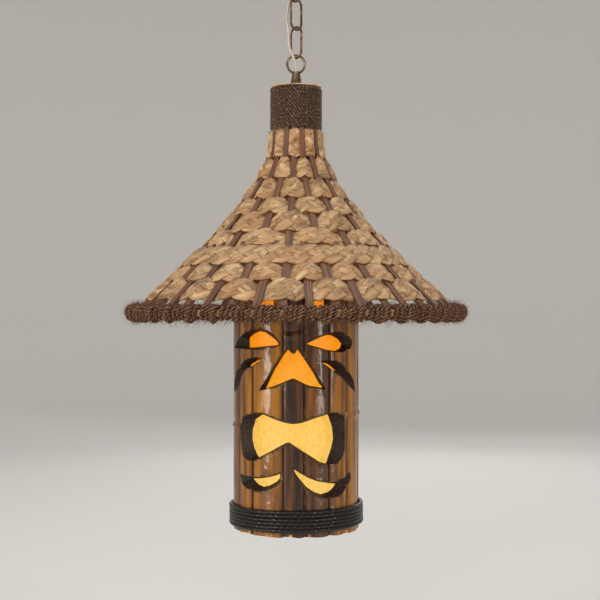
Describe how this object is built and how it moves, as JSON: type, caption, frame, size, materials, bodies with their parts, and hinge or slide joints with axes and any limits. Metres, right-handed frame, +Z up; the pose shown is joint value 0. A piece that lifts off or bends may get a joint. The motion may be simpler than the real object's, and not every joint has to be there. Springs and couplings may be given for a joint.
{
  "type": "hanging tiki lamp",
  "caption": "Hanging lamp: chain and cord, woven palm-leaf hat with a rope-bound rim, and a drum of bamboo slats carved with a face that glows.",
  "frame": {"origin": "centre of the ceiling crossbar, in the ceiling face", "axes": "+Z up; the carved face looks along -Y; +X to the right as seen from the front"},
  "size_m": [0.4359, 0.436, 0.7959],
  "materials": {
    "antique_bronze": "dark antique bronze, satin",
    "zinc_steel": "zinc plated, satin",
    "lamp_brass": "plain brass, satin",
    "lamp_cord": "pale vinyl, satin",
    "turned_wood": "plain turned softwood",
    "bamboo_splint": "split bamboo, natural",
    "palm_leaf": "dried plaited palm leaf",
    "neck_twine": "dark waxed twine",
    "coir_rope": "dark brown coir rope",
    "lacquered_bamboo": "amber-brown lacquer on bamboo, glossy",
    "base_cord": "black-brown lacquered cord, glossy",
    "amber_liner": "translucent amber sheet, lit from inside",
    "steel_nail": "dark steel",
    "porcelain": "glazed white",
    "bulb_glass": "frosted, lit",
    "bulb_metal": "bare aluminium"
  },
  "bodies": {
    "ceiling_fitting": {"ceiling_bracket": "zinc_steel", "canopy_nipple": "lamp_brass", "canopy_locknut": "lamp_brass", "canopy_loop": "antique_bronze", "ceiling_lead": "lamp_cord"},
    "canopy": {"canopy": "antique_bronze"},
    "collar": {"collar_ring": "antique_bronze"},
    "link_3": {"link_3": "antique_bronze", "cord_4": "lamp_cord"},
    "link_2": {"link_2": "antique_bronze", "cord_3": "lamp_cord"},
    "link_1": {"link_1": "antique_bronze", "cord_2": "lamp_cord"},
    "bulb": {"bulb_cap": "bulb_metal", "bulb_glass": "bulb_glass"},
    "lamp": {"cord_1": "lamp_cord", "hang_loop": "antique_bronze", "lamp_rod": "lamp_brass", "rod_nuts": "lamp_brass", "neck_core": "turned_wood", "neck_cap": "turned_wood", "neck_wrap": "neck_twine", "hat_ribs": "bamboo_splint", "rim_hoop": "bamboo_splint", "rim_wrap": "coir_rope", "spider": "zinc_steel", "spider_screws": "zinc_steel", "hoop_top": "turned_wood", "hoop_bottom": "turned_wood", "slat_nails": "steel_nail", "liner": "amber_liner", "base_wrap": "base_cord", "socket_cap": "lamp_brass", "socket_shell": "lamp_brass", "socket_core": "porcelain", "screw_shell": "lamp_brass", "inner_lead": "lamp_cord", "braid_row_1": "palm_leaf", "braid_row_2": "palm_leaf", "braid_row_3": "palm_leaf", "braid_row_4": "palm_leaf", "braid_row_5": "palm_leaf", "braid_row_6": "palm_leaf", "braid_row_7": "palm_leaf", "braid_row_8": "palm_leaf", "braid_row_9": "palm_leaf", "slat_1": "lacquered_bamboo", "slat_2": "lacquered_bamboo", "slat_3": "lacquered_bamboo", "slat_4": "lacquered_bamboo", "slat_5": "lacquered_bamboo", "slat_6": "lacquered_bamboo", "slat_7": "lacquered_bamboo", "slat_8": "lacquered_bamboo", "slat_9": "lacquered_bamboo", "slat_10": "lacquered_bamboo", "slat_11": "lacquered_bamboo", "slat_12": "lacquered_bamboo", "slat_13": "lacquered_bamboo"}
  },
  "joints": [
    {"name": "link_3_swing", "type": "hinge", "parent": "ceiling_fitting", "child": "link_3", "pos_m": [0, 0, -0.0785], "axis": [0.7071, 0.7071, 0], "range_deg": [-25, 25], "deforming": ["cord_4"]},
    {"name": "link_2_swing", "type": "hinge", "parent": "link_3", "child": "link_2", "pos_m": [0, 0, -0.1152], "axis": [0.7071, -0.7071, 0], "range_deg": [-25, 25], "deforming": ["cord_3"]},
    {"name": "link_1_swing", "type": "hinge", "parent": "link_2", "child": "link_1", "pos_m": [0, 0, -0.1519], "axis": [0.7071, 0.7071, 0], "range_deg": [-25, 25], "deforming": ["cord_2"]},
    {"name": "lamp_swing", "type": "hinge", "parent": "link_1", "child": "lamp", "pos_m": [0, 0, -0.1886], "axis": [0.7071, -0.7071, 0], "range_deg": [-25, 25], "deforming": ["cord_1"]},
    {"name": "canopy_drop", "type": "slide", "parent": "ceiling_fitting", "child": "canopy", "axis": [0, 0, -1], "range_m": [0, 0.0315]},
    {"name": "collar_drop", "type": "slide", "parent": "ceiling_fitting", "child": "collar", "axis": [0, 0, -1], "range_m": [0, 0.0315]},
    {"name": "bulb_unscrew", "type": "slide", "parent": "lamp", "child": "bulb", "axis": [0, 0, -1], "range_m": [0, 0.027]}
  ],
  "couplings": [
    {"joint": "collar_drop", "follows": "canopy_drop", "ratio": 1}
  ]
}
